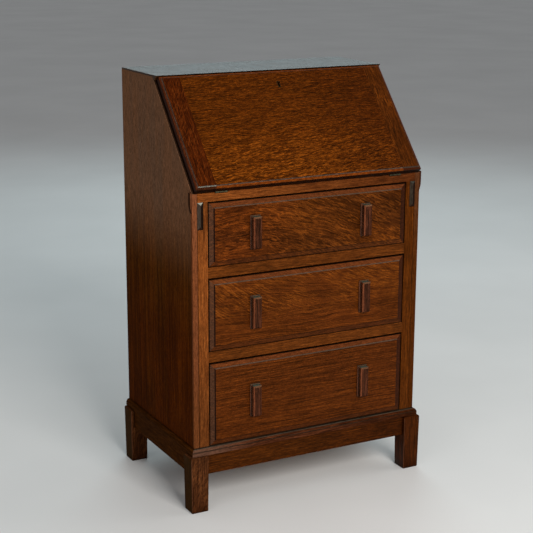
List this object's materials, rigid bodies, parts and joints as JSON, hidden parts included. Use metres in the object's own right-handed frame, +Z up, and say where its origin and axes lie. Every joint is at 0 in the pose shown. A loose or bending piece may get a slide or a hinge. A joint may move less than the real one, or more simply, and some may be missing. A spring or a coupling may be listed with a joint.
{
  "type": "secretary desk",
  "caption": "Slant-front oak secretary desk: fall-front lid on pull-out lopers, drawers with block pulls, square legs on a plinth.",
  "frame": {"origin": "on the floor under the centre of the overall box", "axes": "+Z up, front facing -Y, +X to the right of someone facing the front from outside"},
  "size_m": [0.637, 0.418, 1.007],
  "materials": {
    "oak_figured": "satin polish over quarter-sawn figured oak, golden brown",
    "oak_case": "satin polish over straight-grained oak, mid to dark brown",
    "oak_plain": "plain waxed oak, inside boards and drawer linings",
    "oak_dark": "dark stained and polished hardwood",
    "brass": "aged, satin",
    "steel": "satin, slightly tarnished"
  },
  "bodies": {
    "carcass": {"apron_front": "oak_case", "apron_left": "oak_case", "apron_rear": "oak_plain", "apron_right": "oak_case", "back_panel": "oak_plain", "bottom_board": "oak_plain", "corner_blocks": "oak_plain", "drawer_rail_lower": "oak_case", "drawer_rail_upper": "oak_case", "drawer_runners": "oak_plain", "front_post_left": "oak_case", "front_post_right": "oak_case", "hinge_bed_leaves": "brass", "hinge_pins": "steel", "hinge_screws_bed": "brass", "leg_front_left": "oak_case", "leg_front_right": "oak_case", "leg_rear_left": "oak_case", "leg_rear_right": "oak_case", "loper_guides": "oak_plain", "pigeonhole_dividers": "oak_plain", "pigeonhole_shelf": "oak_plain", "plinth_front": "oak_case", "plinth_left": "oak_case", "plinth_right": "oak_case", "side_ears": "oak_case", "side_left": "oak_case", "side_right": "oak_case", "strike_plate": "brass", "top_board": "oak_case", "top_rail": "oak_case", "writing_bed": "oak_plain"},
    "lid": {"hinge_lid_leaves": "brass", "hinge_screws_lid": "brass", "keyhole_liner": "brass", "lid_clamp_left": "oak_figured", "lid_clamp_right": "oak_figured", "lid_panel": "oak_figured", "lock_case": "brass"},
    "lock_bolt": {"lock_bolt": "steel"},
    "loper_left": {"loper_cap_left": "oak_dark", "loper_left": "oak_plain"},
    "loper_right": {"loper_cap_right": "oak_dark", "loper_right": "oak_plain"},
    "drawer_top": {"drawer_top_box": "oak_plain", "drawer_top_front": "oak_figured", "drawer_top_pulls": "oak_dark", "drawer_top_tray": "oak_plain"},
    "drawer_middle": {"drawer_middle_box": "oak_plain", "drawer_middle_front": "oak_figured", "drawer_middle_pulls": "oak_dark", "drawer_middle_tray": "oak_plain"},
    "drawer_bottom": {"drawer_bottom_box": "oak_plain", "drawer_bottom_front": "oak_figured", "drawer_bottom_pulls": "oak_dark", "drawer_bottom_tray": "oak_plain"},
    "inner_drawer": {"inner_drawer_box": "oak_plain", "inner_drawer_front": "oak_plain", "inner_drawer_knob": "oak_plain"}
  },
  "joints": [
    {"name": "lid_hinge", "type": "hinge", "parent": "carcass", "child": "lid", "pos_m": [0, -0.1883, 0.763], "axis": [1, 0, 0], "range_deg": [0, 131.2]},
    {"name": "lock_bolt_slide", "type": "slide", "parent": "lid", "child": "lock_bolt", "axis": [0, 0.6587, 0.7524], "range_m": [0, 0.006]},
    {"name": "loper_left_slide", "type": "slide", "parent": "carcass", "child": "loper_left", "axis": [0, -1, 0], "range_m": [0, 0.24]},
    {"name": "loper_right_slide", "type": "slide", "parent": "carcass", "child": "loper_right", "axis": [0, -1, 0], "range_m": [0, 0.24]},
    {"name": "drawer_top_slide", "type": "slide", "parent": "carcass", "child": "drawer_top", "axis": [0, -1, 0], "range_m": [0, 0.3]},
    {"name": "drawer_middle_slide", "type": "slide", "parent": "carcass", "child": "drawer_middle", "axis": [0, -1, 0], "range_m": [0, 0.3]},
    {"name": "drawer_bottom_slide", "type": "slide", "parent": "carcass", "child": "drawer_bottom", "axis": [0, -1, 0], "range_m": [0, 0.3]},
    {"name": "inner_drawer_slide", "type": "slide", "parent": "carcass", "child": "inner_drawer", "axis": [0, -1, 0], "range_m": [0, 0.11]}
  ]
}
